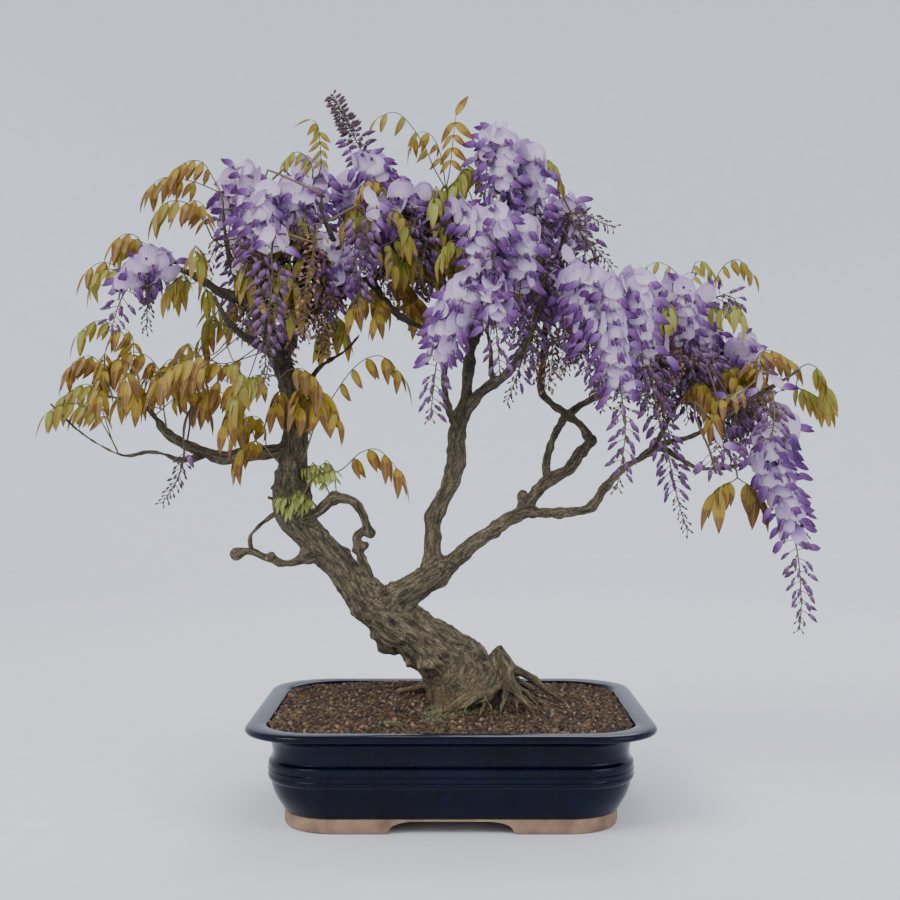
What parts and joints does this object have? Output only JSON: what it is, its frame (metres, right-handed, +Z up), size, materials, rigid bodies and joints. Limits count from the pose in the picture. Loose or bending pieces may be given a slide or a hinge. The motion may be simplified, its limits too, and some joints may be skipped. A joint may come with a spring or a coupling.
{
  "type": "flowering bonsai in pot",
  "caption": "Slanting wisteria bonsai with knotted trunk, surface roots, hanging lilac racemes and bronze pinnate leaves, in a glazed rectangular footed pot filled with granular soil.",
  "frame": {"origin": "middle of the bounding box, on the plane the pot's feet stand on", "axes": "+X along the pot's long side, to the right as seen from the front of the picture; +Y away from the viewer, along the pot's depth; +Z up"},
  "size_m": [0.84, 0.329, 0.7406],
  "materials": {
    "glaze": "gloss",
    "substrate": "matte",
    "screen": "matte",
    "bark": "matte",
    "petal": "satin",
    "closed_flower": "satin",
    "faded_calyx": "matte",
    "leaf": "satin"
  },
  "bodies": {
    "root": {"pot": "glaze", "soil": "substrate", "drain_screen_left": "screen", "drain_screen_right": "screen", "tree": "bark", "raceme_bridge_back_fall": "petal", "raceme_bridge_left": "petal", "raceme_bridge_middle": "closed_flower", "raceme_bridge_right": "petal", "raceme_crown_back": "petal", "raceme_crown_front_pair": "petal", "raceme_crown_inner": "closed_flower", "raceme_crown_right_edge": "petal", "raceme_crown_top_pair": "petal", "raceme_far_left": "petal", "raceme_far_right_fall": "petal", "raceme_inner_back": "petal", "raceme_left_front_pair": "faded_calyx", "raceme_left_inner_pair": "closed_flower", "raceme_low_left_fall": "closed_flower", "raceme_middle_inner": "faded_calyx", "raceme_middle_low_pair": "petal", "raceme_middle_low_right": "closed_flower", "raceme_right_arm_end": "closed_flower", "raceme_right_arm_front_pair": "closed_flower", "raceme_right_arm_top": "petal", "raceme_right_shoulder_front_pair": "petal", "raceme_right_shoulder_middle_pair": "petal", "raceme_right_shoulder_right": "petal", "raceme_right_twig_pair": "petal", "raceme_side_buds": "closed_flower", "raceme_top_left": "petal", "raceme_upper_left_back": "petal", "raceme_upper_left_pair": "petal", "raceme_upright": "petal", "leaves_bridge_front_leaves": "leaf", "leaves_bridge_low_leaves": "leaf", "leaves_crown_side_leaves": "leaf", "leaves_left_arch": "leaf", "leaves_left_edge": "leaf", "leaves_left_front_fan": "leaf", "leaves_left_low_edge": "leaf", "leaves_left_middle": "leaf", "leaves_left_upper": "leaf", "leaves_low_left_fan": "leaf", "leaves_low_left_rise": "leaf", "leaves_low_left_shoot": "leaf", "leaves_middle_front_leaves": "leaf", "leaves_right_arm_leaves": "leaf", "leaves_right_end_leaves": "leaf", "leaves_right_hanging_leaf": "leaf", "leaves_right_twig_leaves": "leaf", "leaves_top_leaves": "leaf", "leaves_top_left_leaves": "leaf", "leaves_trunk_fresh": "leaf", "leaves_trunk_front_fan": "leaf", "leaves_trunk_low_fan": "leaf", "leaves_trunk_right_arch": "leaf", "leaves_trunk_right_low": "leaf"}
  },
  "joints": []
}
